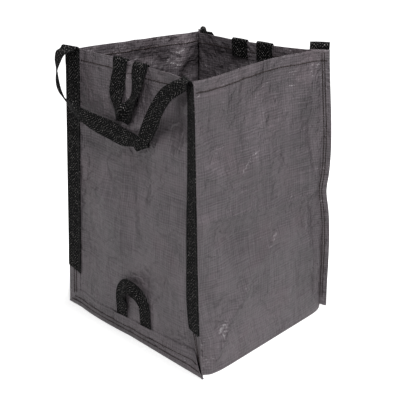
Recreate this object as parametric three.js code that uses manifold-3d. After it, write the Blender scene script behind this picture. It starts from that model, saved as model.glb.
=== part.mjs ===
// Garden waste bag: a free-standing open bag of coated woven cloth, with corner straps,
// two long carrying handles, two short loops over the rim and one loop low on the front.
// Millimetres, +Z up. The origin is the centre of the base, on the ground. The front faces -Y.
import * as THREE from 'three';
import { mergeVertices } from 'three/addons/utils/BufferGeometryUtils.js';
import Module from 'manifold-3d';

const wasm = await Module();
wasm.setup();

// Bag
const baseWidth = 530;
const baseDepth = 478;
const rimWidth = 482;
const rimDepth = 438;
const height = 711;

// Bows of the panels between their seams, outward, at the rim and at the foot. Each is
// whole within its band and fades away over the rest of the height.
const frontRimBow = -7;
const rearRimBow = -21;
const rightRimBow = -27;
const leftRimBow = -4;
const frontFootBow = 19;
const footBow = 14;
const rimBand = 50;
const footBand = 60;

// Cloth, thread and the space kept between two pieces
const cloth = 1;
const thread = 0.8;
const clearance = 0.3;
const overrun = 5;

// Corner seams: each side panel's margin stands beside the front or rear panel as a fin,
// and its edge is folded back over that panel as a flange
const finWidth = 30;
const flangeWidth = 47;
const baseFlangeHeight = 50;
const hemHeight = 36;
const hemRowDrop = 26;
const seamRowInset = 21;
const seamRowSpacing = 10;
const baseRowHeight = 13;
const baseRowSpacing = 12;
const rowEndInset = 6;
const cornerRowFoot = 32;

// Webbing
const webbing = 2;
const strapWidth = 51;
const strapFoot = 107;
const strapRowInset = 4;
const foldRise = 10;
const foldRadius = 8;

// Long handles, hanging outside
const handleDrop = 198;
const handleStand = 45;

// Short loops over the middle of the rim
const shortLoopSpacing = 80;
const frontLoopShift = -6;
const rearLoopShift = -5;
const shortLoopDrop = 134;
const shortLoopStand = 34;
const shortLoopRise = 3;
const shortLoopRadius = 5;
const tabLength = 44;

// Loop low on the front
const baseLoopWidth = 40;
const baseLoopSpacing = 90;
const baseLoopShift = 15;
const baseLoopHeight = 112;
const baseLoopStand = 24;
const pocketDepth = 18;
const tailRise = 2;

// Stand-off of each layer, outward from the outer face of the flanges
const panelOuter = -(cloth + clearance);
const panelInner = panelOuter - cloth;
const finOuter = panelInner - clearance;
const finInner = finOuter - cloth;
const hemInner = panelInner - cloth;
const tabMiddle = hemInner - clearance - webbing / 2;
const strapMiddle = 2 * clearance + thread + webbing / 2;
const strapOuter = strapMiddle + webbing / 2;
const tailMiddle = panelOuter + clearance + webbing / 2;
const pocketOuter = tailMiddle + webbing / 2 + clearance;

// Half of the bag's width and depth at a height, to the folded edges and the flanges' faces
const halfWidth = (z) => (baseWidth + ((rimWidth - baseWidth) * z) / height) / 2;
const halfDepth = (z) => (baseDepth + ((rimDepth - baseDepth) * z) / height) / 2;
const sidePlane = (z) => halfWidth(z) - finWidth;

// Bowed panels: the places of the upright lines, as shares of half the free width, how much of
// the bow each line has from left to right seen from outside, and the level lines between the
// bands. A bow changes evenly between the lines.
const lineShares = [-1, -0.67, -0.33, 0, 0.33, 0.67, 1];
const evenShares = [0, 0.66, 0.94, 1, 0.94, 0.66, 0];
const rightRimShares = [0, 0.06, 0.36, 0.76, 1, 0.82, 0];
const levelShares = [0, 0.25, 0.5, 0.75, 1];
const bows = {
  front: { rim: frontRimBow, foot: frontFootBow, rimShares: evenShares },
  rear: { rim: rearRimBow, foot: footBow, rimShares: evenShares },
  right: { rim: rightRimBow, foot: footBow, rimShares: rightRimShares },
  left: { rim: leftRimBow, foot: footBow, rimShares: evenShares },
};
const levels = [
  0,
  ...levelShares.map((share) => footBand + share * (height - rimBand - footBand)),
  height,
];
const freeHalfWidth = (z) => halfWidth(z) - strapWidth;
const freeHalfDepth = (z) => halfDepth(z) + finInner;

// Finishes
const clothFinish = { color: 0x5f5b60, roughness: 0.55, metalness: 0 };
const webbingFinish = { color: 0x1b1b1c, roughness: 0.9, metalness: 0 };
const threadFinish = { color: 0x2b2220, roughness: 0.8, metalness: 0 };

const bag = new THREE.Group();

function addPiece(parent, name, geometry, finish) {
  const piece = new THREE.Mesh(geometry, new THREE.MeshStandardMaterial(finish));
  piece.name = name;
  parent.add(piece);
  return piece;
}

// Closed surface from rings of corner points, joined in order, with flat ends
function closedRings(rings) {
  const corners = rings[0].length;
  const positions = rings.flat().flatMap((point) => point.toArray());
  const triangles = [];
  for (let ring = 0; ring + 1 < rings.length; ring += 1) {
    for (let corner = 0; corner < corners; corner += 1) {
      const next = (corner + 1) % corners;
      const here = ring * corners;
      const beyond = here + corners;
      triangles.push(here + corner, here + next, beyond + next);
      triangles.push(here + corner, beyond + next, beyond + corner);
    }
  }
  const last = (rings.length - 1) * corners;
  for (let corner = 1; corner + 1 < corners; corner += 1) {
    triangles.push(0, corner + 1, corner);
    triangles.push(last, last + corner, last + corner + 1);
  }
  if (enclosedVolume(positions, triangles) < 0) {
    triangles.reverse();
  }
  const geometry = new THREE.BufferGeometry();
  geometry.setAttribute('position', new THREE.Float32BufferAttribute(positions, 3));
  geometry.setIndex(triangles);
  return geometry;
}

function enclosedVolume(positions, triangles) {
  const corner = (index) => new THREE.Vector3().fromArray(positions, 3 * index);
  let volume = 0;
  for (let start = 0; start < triangles.length; start += 3) {
    const [a, b, c] = [0, 1, 2].map((step) => corner(triangles[start + step]));
    volume += a.dot(b.cross(c)) / 6;
  }
  return volume;
}

function toSolid(geometry) {
  const bare = geometry.clone();
  bare.deleteAttribute('normal');
  bare.deleteAttribute('uv');
  const merged = mergeVertices(bare);
  const vertProperties = new Float32Array(merged.attributes.position.array);
  const triVerts = new Uint32Array(merged.index.array);
  return new wasm.Manifold(new wasm.Mesh({ numProp: 3, vertProperties, triVerts }));
}

function toGeometry(solid) {
  const mesh = solid.getMesh();
  const geometry = new THREE.BufferGeometry();
  geometry.setAttribute('position', new THREE.BufferAttribute(mesh.vertProperties, 3));
  geometry.setIndex(new THREE.BufferAttribute(mesh.triVerts, 1));
  return geometry;
}

function joined(geometries) {
  return geometries.map(toSolid).reduce((whole, piece) => whole.add(piece));
}

// Box whose four upright faces lean with the bag: each side is a function of the height
function leaningBox([x0, x1], [y0, y1], [z0, z1]) {
  const ring = (z) => [
    new THREE.Vector3(x0(z), y0(z), z),
    new THREE.Vector3(x1(z), y0(z), z),
    new THREE.Vector3(x1(z), y1(z), z),
    new THREE.Vector3(x0(z), y1(z), z),
  ];
  return closedRings([ring(z0), ring(z1)]);
}

// The same, given across the front and by stand-offs outward from the flanges' faces
function frontBox(across, [inner, outer], heights) {
  const depths = [(z) => -halfDepth(z) - outer, (z) => -halfDepth(z) - inner];
  return leaningBox(across, depths, heights);
}

// Closed slab between two faces, each a grid of points
function slab(outer, inner) {
  const [rows, columns] = [outer.length, outer[0].length];
  const positions = [...outer.flat(), ...inner.flat()].flatMap((point) => point.toArray());
  const at = (face, row, column) => (face * rows + row) * columns + column;
  const triangles = [];
  const quad = (a, b, c, d) => triangles.push(a, b, c, a, c, d);
  for (let row = 0; row + 1 < rows; row += 1) {
    const up = row + 1;
    for (let column = 0; column + 1 < columns; column += 1) {
      const next = column + 1;
      quad(at(0, row, column), at(0, row, next), at(0, up, next), at(0, up, column));
      quad(at(1, row, column), at(1, up, column), at(1, up, next), at(1, row, next));
    }
    const last = columns - 1;
    quad(at(1, row, 0), at(0, row, 0), at(0, up, 0), at(1, up, 0));
    quad(at(0, row, last), at(1, row, last), at(1, up, last), at(0, up, last));
  }
  for (let column = 0; column + 1 < columns; column += 1) {
    const [next, top] = [column + 1, rows - 1];
    quad(at(1, 0, column), at(1, 0, next), at(0, 0, next), at(0, 0, column));
    quad(at(0, top, column), at(0, top, next), at(1, top, next), at(1, top, column));
  }
  if (enclosedVolume(positions, triangles) < 0) {
    triangles.reverse();
  }
  const geometry = new THREE.BufferGeometry();
  geometry.setAttribute('position', new THREE.Float32BufferAttribute(positions, 3));
  geometry.setIndex(triangles);
  return geometry;
}

// Value of a row of numbers at a place among rising places, straight between them
function between(places, values, place) {
  if (place <= places[0] || place >= places[places.length - 1]) {
    return place <= places[0] ? values[0] : values[values.length - 1];
  }
  const next = places.findIndex((each) => each > place);
  const share = (place - places[next - 1]) / (places[next] - places[next - 1]);
  return values[next - 1] + share * (values[next] - values[next - 1]);
}

// How far a face bows out at a share of half its free width and at a height
function bowAt(face, share, z) {
  const { rim, foot, rimShares } = bows[face];
  const fade = levels.map((level) => {
    const rise = (level - footBand) / (height - rimBand - footBand);
    const part = Math.min(1, Math.max(0, rise));
    return [part ** 2, (1 - part) ** 2];
  });
  const [high, low] = [0, 1].map((index) => between(levels, fade.map((each) => each[index]), z));
  return (
    rim * high * between(lineShares, rimShares, share) +
    foot * low * between(lineShares, evenShares, share)
  );
}

// Slab of a bowed face between two places along it, parted at the face's lines
function bowedSlab(face, [start, end], [inner, outer], [foot, head], freeHalf, point) {
  const rows = [foot, ...levels.filter((level) => level > foot && level < head), head];
  const middle = (foot + head) / 2;
  const lines = lineShares.filter((share) => {
    const place = share * freeHalf(middle);
    return place > start(middle) + clearance && place < end(middle) - clearance;
  });
  const side = (standOff) =>
    rows.map((z) =>
      [start(z), ...lines.map((share) => share * freeHalf(z)), end(z)].map((place) =>
        point(place, standOff + bowAt(face, place / freeHalf(z), z), z),
      ),
    );
  return slab(side(outer), side(inner));
}

const onFront = (across, standOff, z) => new THREE.Vector3(across, -halfDepth(z) - standOff, z);
const onSide = (along, standOff, z) => new THREE.Vector3(sidePlane(z) + standOff, along, z);

function bowedFront(face, across, standOffs, heights) {
  return bowedSlab(face, across, standOffs, heights, freeHalfWidth, onFront);
}

function bowedSide(face, along, standOffs, heights) {
  return bowedSlab(face, along, standOffs, heights, freeHalfDepth, onSide);
}

// Straight line along a bowed face through two places of it, moved out, or in, until the
// face keeps to its other side. It gives the stand-off and the slope of what lies flat there.
function resting(face, middle, reach, z, outward) {
  const bow = (across) => bowAt(face, across / freeHalfWidth(z), z);
  const [start, end] = [middle - reach, middle + reach];
  const slope = (bow(end) - bow(start)) / (end - start);
  const chord = (across) => bow(start) + slope * (across - start);
  const crossed = lineShares
    .map((share) => share * freeHalfWidth(z))
    .filter((across) => across > start && across < end)
    .map((across) => bow(across) - chord(across));
  const shift = outward ? Math.max(0, ...crossed) : Math.min(0, ...crossed);
  return { slope, standOff: (across) => chord(across) + shift };
}

// Strip along the left edge of the front, from one inset to another, or mirrored to the right
function edgeStrip(mirror, [nearInset, farInset]) {
  const left = (z) => -halfWidth(z) + nearInset;
  const right = (z) => -halfWidth(z) + farInset;
  return mirror ? [(z) => -right(z), (z) => -left(z)] : [left, right];
}

function turned(geometry) {
  return geometry.clone().rotateZ(Math.PI);
}

// Woven panels

function seamMargins(face) {
  const upright = [0, height];
  const pieces = [];
  for (const mirror of [false, true]) {
    const fin = edgeStrip(mirror, [0, finWidth + cloth]);
    const flange = edgeStrip(mirror, [0, flangeWidth]);
    const fold = edgeStrip(mirror, [0, cloth]);
    pieces.push(frontBox(fin, [finInner, finOuter], upright));
    pieces.push(frontBox(flange, [-cloth, 0], upright));
    pieces.push(frontBox(fold, [finInner, 0], upright));
  }
  const across = [(z) => -halfWidth(z), (z) => halfWidth(z)];
  pieces.push(bowedFront(face, across, [-cloth, 0], [0, baseFlangeHeight]));
  return pieces;
}

function sidePanel(face) {
  const ends = [(z) => -halfDepth(z) - finInner, (z) => halfDepth(z) + finInner];
  const reach = [(z) => ends[0](z) - cloth, (z) => ends[1](z) + cloth];
  return [
    bowedSide(face, reach, [-cloth, 0], [0, height]),
    bowedSide(face, ends, [-2 * cloth, 0], [height - hemHeight, height]),
  ];
}

// Base: its outline follows the foot of the four faces
function basePanel() {
  const foot = (face, freeHalf, point) =>
    lineShares.map((share) => point(share * freeHalf(0), bowAt(face, share, 0), 0));
  const about = ({ x, y, z }) => new THREE.Vector3(-x, -y, z);
  const corner = (across) => onFront(across * sidePlane(0), 0, 0);
  const outline = [
    corner(-1),
    ...foot('front', freeHalfWidth, onFront),
    corner(1),
    ...foot('right', freeHalfDepth, onSide),
    about(corner(-1)),
    ...foot('rear', freeHalfWidth, onFront).map(about),
    about(corner(1)),
    ...foot('left', freeHalfDepth, onSide).map(about),
  ];
  return new wasm.CrossSection([outline.map(({ x, y }) => [x, y])]).extrude(cloth);
}

function tailPlaces() {
  return [-1, 1].map((side) => baseLoopShift + (side * baseLoopSpacing) / 2);
}

const tailRest = (middle) => resting('front', middle, baseLoopWidth / 2, 0, true);

function pocketBox(middle, reach, standOffs, heights) {
  const rest = tailRest(middle);
  const side = (standOff) =>
    heights.map((z) =>
      [middle - reach, middle + reach].map((across) =>
        onFront(across, standOff + rest.standOff(across), z),
      ),
    );
  return slab(side(standOffs[1]), side(standOffs[0]));
}

function wrapPanel() {
  const pieces = [
    ...seamMargins('front'),
    ...seamMargins('rear').map(turned),
    ...sidePanel('right'),
    ...sidePanel('left').map(turned),
  ];
  const halfTail = baseLoopWidth / 2 + clearance;
  const pocketFloor = baseFlangeHeight - pocketDepth;
  for (const middle of tailPlaces()) {
    const standOffs = [-cloth, pocketOuter + cloth];
    const heights = [pocketFloor - cloth, baseFlangeHeight];
    pieces.push(pocketBox(middle, halfTail + cloth, standOffs, heights));
  }
  let solid = joined(pieces).add(basePanel());
  for (const middle of tailPlaces()) {
    const standOffs = [panelInner, pocketOuter];
    const heights = [pocketFloor, baseFlangeHeight + overrun];
    solid = solid.subtract(toSolid(pocketBox(middle, halfTail, standOffs, heights)));
  }
  return toGeometry(solid);
}

function facePanel(face) {
  const edge = (z) => halfWidth(z) - cloth - clearance;
  const hemEdge = (z) => sidePlane(z) - cloth - clearance;
  const panel = bowedFront(
    face,
    [(z) => -edge(z), edge],
    [panelInner, panelOuter],
    [cloth + clearance, height],
  );
  const hem = bowedFront(
    face,
    [(z) => -hemEdge(z), hemEdge],
    [hemInner, panelOuter],
    [height - hemHeight, height],
  );
  return toGeometry(joined([panel, hem]));
}

// Stitching: rows of thread on the outer faces

function ladder(across, standOffs, [foot, head]) {
  const [first, second] = across;
  const row = (place) => [place, (z) => place(z) + thread];
  const whole = [first, (z) => second(z) + thread];
  return toGeometry(
    joined([
      frontBox(row(first), standOffs, [foot, head]),
      frontBox(row(second), standOffs, [foot, head]),
      frontBox(whole, standOffs, [foot, foot + thread]),
      frontBox(whole, standOffs, [head - thread, head]),
    ]),
  );
}

function cornerRows(mirror) {
  const near = seamRowInset - thread / 2;
  const strip = edgeStrip(mirror, [near, near + seamRowSpacing]);
  return ladder(strip, [clearance, clearance + thread], [cornerRowFoot, height - rowEndInset]);
}

function strapRows(mirror) {
  const strip = edgeStrip(mirror, [strapRowInset, strapWidth - strapRowInset - thread]);
  const standOffs = [strapOuter + clearance, strapOuter + clearance + thread];
  return ladder(strip, standOffs, [strapFoot + strapRowInset, height - rowEndInset]);
}

function baseRows(face) {
  const reach = (z) => halfWidth(z) - rowEndInset;
  const standOffs = [clearance, clearance + thread];
  const across = [(z) => -reach(z), reach];
  const upper = baseRowHeight + baseRowSpacing;
  const bar = (side) => [(z) => side * reach(z) - thread, (z) => side * reach(z) + thread];
  return toGeometry(
    joined([
      bowedFront(face, across, standOffs, [baseRowHeight, baseRowHeight + thread]),
      bowedFront(face, across, standOffs, [upper, upper + thread]),
      frontBox(bar(-1), standOffs, [baseRowHeight, upper + thread]),
      frontBox(bar(1), standOffs, [baseRowHeight, upper + thread]),
    ]),
  );
}

function faceHemRow(face) {
  const reach = (z) => halfWidth(z) - flangeWidth - clearance;
  const standOffs = [panelOuter + clearance, panelOuter + clearance + thread];
  const foot = height - hemRowDrop;
  return bowedFront(face, [(z) => -reach(z), reach], standOffs, [foot, foot + thread]);
}

function sideHemRow(face) {
  const reach = (z) => halfDepth(z) + finInner - clearance;
  const foot = height - hemRowDrop;
  const standOffs = [clearance, clearance + thread];
  return bowedSide(face, [(z) => -reach(z), reach], standOffs, [foot, foot + thread]);
}

// Webbing: a flat ribbon given by stations. Each has its middle and the line across the
// ribbon, in ribbon widths, both as across, stand-off and height on the front.

function station(across, standOff, up, ruling) {
  return { middle: [across, standOff, up], ruling };
}

function placed([across, standOff, up]) {
  return new THREE.Vector3(across, -halfDepth(up) - standOff, up);
}

// Way along a row of points, carried on to its ends by the next two points
function direction(points, index) {
  const last = points.length - 1;
  if (index > 0 && index < last) {
    return points[index + 1].clone().sub(points[index - 1]);
  }
  const way = index === 0 ? 1 : -1;
  const near = points[index + way].clone().sub(points[index]);
  if (last === 1) {
    return near.multiplyScalar(way);
  }
  const far = points[index + 2 * way].clone().sub(points[index + way]);
  return near.multiplyScalar(3).sub(far).multiplyScalar(way);
}

function ribbon(stations, width) {
  const middles = stations.map((each) => placed(each.middle));
  const rulings = stations.map(
    ({ ruling: [across, standOff, up] }) => new THREE.Vector3(across, -standOff, up),
  );
  const rings = middles.map((middle, index) => {
    const face = new THREE.Vector3().crossVectors(rulings[index], direction(middles, index));
    face.setLength(webbing / 2);
    const edge = rulings[index].clone().multiplyScalar(width / 2);
    return [
      [-1, -1],
      [1, -1],
      [1, 1],
      [-1, 1],
    ].map(([side, layer]) =>
      middle.clone().addScaledVector(edge, side).addScaledVector(face, layer),
    );
  });
  return closedRings(rings);
}

// Stations between the chosen ones, on smooth curves through them
function smoothed(stations, steps) {
  const curveOf = (pick) =>
    new THREE.CatmullRomCurve3(
      stations.map((each) => new THREE.Vector3(...pick(each))),
      false,
      'catmullrom',
    );
  const middles = curveOf((each) => each.middle);
  const rulings = curveOf((each) => each.ruling);
  const total = steps * (stations.length - 1);
  return Array.from({ length: total + 1 }, (_, index) => ({
    middle: middles.getPoint(index / total).toArray(),
    ruling: rulings.getPoint(index / total).toArray(),
  }));
}

const bendSteps = 5;
const smoothSteps = 3;
const straight = [1, 0, 0];

// Quarter of a fold over the rim, up to its crown on the inner or the outer side.
// The two quarters keep half the clearance each to the plane through the crown.
function foldQuarter(across, middle, foot, radius, outward, ruling) {
  const closing = Math.asin(clearance / 2 / radius);
  return Array.from({ length: bendSteps + 1 }, (_, index) => {
    const turn = (index / bendSteps) * (Math.PI / 2 - closing);
    const standOff = middle + radius - (outward ? -1 : 1) * radius * Math.cos(turn);
    return station(across, standOff, foot + radius * Math.sin(turn), ruling);
  });
}

function strap(mirror) {
  const side = mirror ? 1 : -1;
  const across = (z) => side * (halfWidth(z) - strapWidth / 2);
  const foot = station(across(strapFoot), strapMiddle, strapFoot, straight);
  const rim = station(across(height), strapMiddle, height, straight);
  const bend = foldQuarter(
    across(height),
    strapMiddle,
    height + foldRise,
    foldRadius,
    false,
    straight,
  );
  return ribbon([foot, rim, ...bend], strapWidth);
}

// Long handle from left to right: places as shares of the straps' distance, the stand and
// the drop below the fold, then the line across the webbing in its own widths
const handleShares = [
  [-1.03, 0.62, -0.13, 0.92, 0.34, 0],
  [-1.07, 0.86, -0.3, 0.78, 0.62, 0.05],
  [-1.04, 0.86, -0.52, 0.68, 0.68, 0.28],
  [-0.92, 0.6, -0.72, 0.46, 0.5, 0.74],
  [-0.66, 0.32, -0.84, 0.26, 0.16, 0.95],
  [-0.33, 0.18, -0.9, 0.22, 0, 0.98],
  [-0.04, 0.14, -0.95, 0.6, 0, 0.9],
  [0.13, 0.13, -0.96, 1.2, 0, 0.75],
  [0.21, 0.13, -0.97, 1.7, 0, 0.8],
  [0.23, 0.22, -1, 1.75, 0, 0.82],
  [0.22, 0.31, -0.97, 1.7, 0, 0.7],
  [0.27, 0.33, -0.89, 1.35, 0, 0.3],
  [0.37, 0.33, -0.69, 1.08, 0, -0.1],
  [0.49, 0.36, -0.46, 0.94, 0.15, -0.2],
  [0.66, 0.4, -0.24, 0.9, 0.2, -0.22],
  [0.87, 0.42, -0.09, 0.96, 0.08, -0.1],
];

function longHandle(mirror) {
  const reach = halfWidth(height) - strapWidth / 2;
  const crown = height + foldRise;
  const bend = (side) =>
    foldQuarter(side * reach, strapMiddle, crown, foldRadius, true, straight);
  const mirrored = ([across, standOff, up, ruleAcross, ruleOut, ruleUp]) =>
    [-across, standOff, up, ruleAcross, -ruleOut, -ruleUp];
  const shares = mirror ? handleShares.map(mirrored).reverse() : handleShares;
  const hanging = shares.map(([across, standOff, up, ...ruling]) =>
    station(across * reach, standOff * handleStand + foldRadius, crown + up * handleDrop, ruling),
  );
  const [first, last] = [bend(-1), bend(1)];
  const free = smoothed([first[0], ...hanging, last[0]], smoothSteps);
  const stations = [...first.reverse(), ...free.slice(1, -1), ...last];
  return ribbon(stations, strapWidth);
}

// Short loop from left to right: places as shares of half the legs' spacing, the stand and
// the drop below the rim, then the line across the webbing in its own widths
const shortLoopShares = [
  [-1, 0.25, -0.15, 1, 0.05, 0],
  [-1.12, 0.35, -0.38, 1, -0.05, 0],
  [-1.16, 0.55, -0.6, 1, 0.02, 0],
  [-0.95, 0.85, -0.84, 0.86, 0.45, 0.05],
  [-0.62, 1.08, -1.01, 0.68, 0.68, 0.08],
  [-0.38, 1.12, -1.03, 0.5, 0.85, 0.1],
  [-0.1, 1.02, -0.94, 0.1, 0.98, 0.1],
  [0.22, 0.85, -0.8, -0.4, 0.9, 0.2],
  [0.52, 0.6, -0.58, -0.75, 0.6, 0.2],
  [0.74, 0.42, -0.36, -0.92, 0.35, 0.08],
  [0.86, 0.3, -0.15, -0.99, 0.1, 0],
];

const tabRest = (face, across) => resting(face, across, strapWidth / 2, height, false);

function shortLoop(face, shift) {
  const foot = height + shortLoopRise;
  const reach = shortLoopSpacing / 2;
  const rests = [-1, 1].map((side) => tabRest(face, shift + side * reach));
  const bows = [-1, 1].map((side, index) => rests[index].standOff(shift + side * reach));
  const bend = (index, side) =>
    foldQuarter(
      shift + side * reach,
      tabMiddle + bows[index],
      foot,
      shortLoopRadius,
      true,
      [-side, -side * rests[index].slope, 0],
    );
  const hanging = shortLoopShares.map(([across, standOff, up, ...ruling]) =>
    station(
      shift + across * reach,
      standOff * shortLoopStand + between([-1, 1], bows, across),
      height + up * shortLoopDrop,
      ruling,
    ),
  );
  const [first, last] = [bend(0, -1), bend(1, 1)];
  const free = smoothed([first[0], ...hanging, last[0]], smoothSteps);
  const stations = [...first.reverse(), ...free.slice(1, -1), ...last];
  return ribbon(stations, strapWidth);
}

function loopTab(face, shift, side) {
  const across = shift + (side * shortLoopSpacing) / 2;
  const rest = tabRest(face, across);
  const standOff = tabMiddle + rest.standOff(across);
  const ruling = [1, rest.slope, 0];
  const foot = station(across, standOff, height - tabLength, ruling);
  const bend = foldQuarter(
    across,
    standOff,
    height + shortLoopRise,
    shortLoopRadius,
    false,
    ruling,
  );
  return ribbon([foot, ...bend], strapWidth);
}

// Low loop from left to right: places as shares of half the legs' spacing, the stand and
// the height above the legs' feet, then the line across the webbing in its own widths
const baseLoopShares = [
  [-1, 0.02, 0.3, 1, 0, 0],
  [-1, 0.2, 0.58, 0.96, 0.2, -0.1],
  [-0.82, 0.6, 0.82, 0.72, 0.56, -0.4],
  [-0.4, 1, 0.98, 0.22, 0.72, -0.66],
  [0.1, 1, 0.88, -0.3, 0.62, -0.72],
  [0.6, 0.72, 0.66, -0.72, 0.42, -0.55],
  [0.92, 0.32, 0.42, -0.95, 0.16, -0.22],
  [1, 0.04, 0.2, -1, 0, 0],
];

function baseLoop() {
  const foot = baseFlangeHeight + tailRise + clearance;
  const reach = baseLoopSpacing / 2;
  const rests = tailPlaces().map(tailRest);
  const bows = tailPlaces().map((middle, index) => rests[index].standOff(middle));
  const leg = (index, side) =>
    station(baseLoopShift + side * reach, tailMiddle + bows[index], foot, [
      -side,
      -side * rests[index].slope,
      0,
    ]);
  const arch = baseLoopShares.map(([across, standOff, up, ...ruling]) =>
    station(
      baseLoopShift + across * reach,
      tailMiddle + between([-1, 1], bows, across) + standOff * baseLoopStand,
      foot + up * baseLoopHeight,
      ruling,
    ),
  );
  const stations = smoothed([leg(0, -1), ...arch, leg(1, 1)], smoothSteps);
  return ribbon(stations, baseLoopWidth);
}

function baseLoopTail(middle) {
  const foot = baseFlangeHeight - pocketDepth + clearance;
  const head = baseFlangeHeight + tailRise;
  const rest = tailRest(middle);
  const end = (z) =>
    station(middle, tailMiddle + rest.standOff(middle), z, [1, rest.slope, 0]);
  return ribbon([end(foot), end(head)], baseLoopWidth);
}

// Front half: everything sewn to the front panel. The rear is the same, turned about.
function sewnFace(face, shift) {
  const half = new THREE.Group();
  addPiece(half, `${face}_panel`, facePanel(face), clothFinish);
  for (const mirror of [false, true]) {
    const side = mirror ? 'right' : 'left';
    addPiece(half, `${face}_${side}_strap`, strap(mirror), webbingFinish);
    addPiece(half, `${face}_${side}_seam_rows`, cornerRows(mirror), threadFinish);
    addPiece(half, `${face}_${side}_strap_rows`, strapRows(mirror), threadFinish);
    addPiece(half, `${face}_loop_${side}_tab`, loopTab(face, shift, mirror ? 1 : -1), webbingFinish);
  }
  addPiece(half, `${face}_handle`, longHandle(face === 'rear'), webbingFinish);
  addPiece(half, `${face}_short_loop`, shortLoop(face, shift), webbingFinish);
  addPiece(half, `${face}_hem_row`, faceHemRow(face), threadFinish);
  addPiece(half, `${face}_base_rows`, baseRows(face), threadFinish);
  return half;
}

addPiece(bag, 'wrap_panel', wrapPanel(), clothFinish);
bag.add(sewnFace('front', frontLoopShift));
const rear = sewnFace('rear', rearLoopShift);
rear.rotation.z = Math.PI;
bag.add(rear);
addPiece(bag, 'right_hem_row', sideHemRow('right'), threadFinish);
const leftRow = addPiece(bag, 'left_hem_row', sideHemRow('left'), threadFinish);
leftRow.rotation.z = Math.PI;
addPiece(bag, 'base_loop', baseLoop(), webbingFinish);
const [leftTail, rightTail] = tailPlaces();
addPiece(bag, 'base_loop_left_tail', baseLoopTail(leftTail), webbingFinish);
addPiece(bag, 'base_loop_right_tail', baseLoopTail(rightTail), webbingFinish);

export default bag;
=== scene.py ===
import math

import bpy
import numpy as np
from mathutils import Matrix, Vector


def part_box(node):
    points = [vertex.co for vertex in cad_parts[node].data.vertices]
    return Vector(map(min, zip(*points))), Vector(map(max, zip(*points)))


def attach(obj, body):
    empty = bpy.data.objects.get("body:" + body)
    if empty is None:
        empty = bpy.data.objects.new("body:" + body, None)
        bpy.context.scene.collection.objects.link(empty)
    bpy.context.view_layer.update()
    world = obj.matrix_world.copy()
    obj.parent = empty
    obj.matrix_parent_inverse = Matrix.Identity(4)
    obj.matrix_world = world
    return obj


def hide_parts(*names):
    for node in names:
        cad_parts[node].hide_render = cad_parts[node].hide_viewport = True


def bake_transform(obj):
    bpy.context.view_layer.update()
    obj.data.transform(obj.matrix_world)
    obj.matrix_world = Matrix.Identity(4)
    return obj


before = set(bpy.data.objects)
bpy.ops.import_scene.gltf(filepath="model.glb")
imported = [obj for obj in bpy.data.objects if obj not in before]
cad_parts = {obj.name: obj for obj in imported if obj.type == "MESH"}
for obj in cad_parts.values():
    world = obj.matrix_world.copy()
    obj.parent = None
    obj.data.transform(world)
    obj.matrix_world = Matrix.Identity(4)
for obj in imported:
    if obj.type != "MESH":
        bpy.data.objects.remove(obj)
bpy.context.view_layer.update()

bl_info = {
    "name": "Garden waste bag",
    "version": (1, 0, 0),
    "blender": (4, 5, 0),
    "location": "3D View > Sidebar > Waste Bag",
    "description": "Builds a standing garden waste bag of woven cloth and webbing",
    "category": "Add Mesh",
}

MM, TO_MM = 0.001, 1000
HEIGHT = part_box("front_panel")[1].z * TO_MM

# Corner seams, foot to rim: share of the height, the folded edge's x, y and z in mm, the direction
# from that edge into the panel in degrees, and how far in the side panel leaves the seam
CORNERS = {
    "front_left": [
        (0, -264, -253, 1, 0, 31),
        (0.15, -263.5, -247, 107, 2, 31),
        (0.55, -266, -229, 392, 4, 31),
        (1, -262, -213, 715, 7, 31),
    ],
    "front_right": [
        (0, 273, -264, 1, 142, 18),
        (0.15, 262, -261, 107, 163, 31),
        (0.45, 252, -258, 320, 164, 31),
        (0.7, 242, -252, 495, 156, 31),
        (1, 228, -243, 706, 149, 31),
    ],
    "rear_left": [
        (0, 270, 234, 1, 204, 19),
        (0.4, 254, 238, 285, 211, 20),
        (0.476, 244.5, 237, 339, 214, 20),
        (0.54, 248, 238, 384, 211, 20),
        (1, 226, 238, 711, 215, 20),
    ],
    "rear_right": [
        (0, -258, 252, 1, 315, 31),
        (0.5, -241, 242, 356, 315, 31),
        (1, -222, 225, 708, 315, 31),
    ],
}
# On which side of its direction into the panel a seam's outer face lies: 1 is left, -1 is right
HAND = {"front_left": -1, "front_right": 1, "rear_left": -1, "rear_right": 1}
# The two seams of each face, from left to right as seen from outside the bag
FACES = {
    "front": ("front_left", "front_right"),
    "right": ("front_right", "rear_left"),
    "rear": ("rear_left", "rear_right"),
    "left": ("rear_right", "front_left"),
}
# Widths in mm: webbing at the corners, in the loops over the rim and in the base loop, and the
# flange under a strap
STRAP_SPAN, LOOP_SPAN, BASE_LOOP_SPAN = 51.0, 49.8, 39
FLANGE = 47.0
# How far inside the panel the hem lies, and how far in from a seam's folded edge a base margin ends
HEM_FOLD, MARGIN_INSET = 1.1, 0.5
# Radius in mm at which straps and short loops fold over the rim, and a short loop's rise before it
BEND, LOOP_BEND, LOOP_RISE = 7.5, 4.2, 0.8
# Columns of the free part of a front or rear panel and of a side panel, and of a front or rear
# panel's part under a strap
PANEL_COLUMNS, SIDE_COLUMNS, SEAM_COLUMNS = 101, 89, 9
# A short loop's middle, in mm to the right as seen from its own side, and half its spread
SHORT_LOOPS = {"front": (-24, 38), "rear": (-19, 41)}
# Where the base loop's two ends are along X, in mm
BASE_LOOP_ENDS = (-30, 60)

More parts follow.
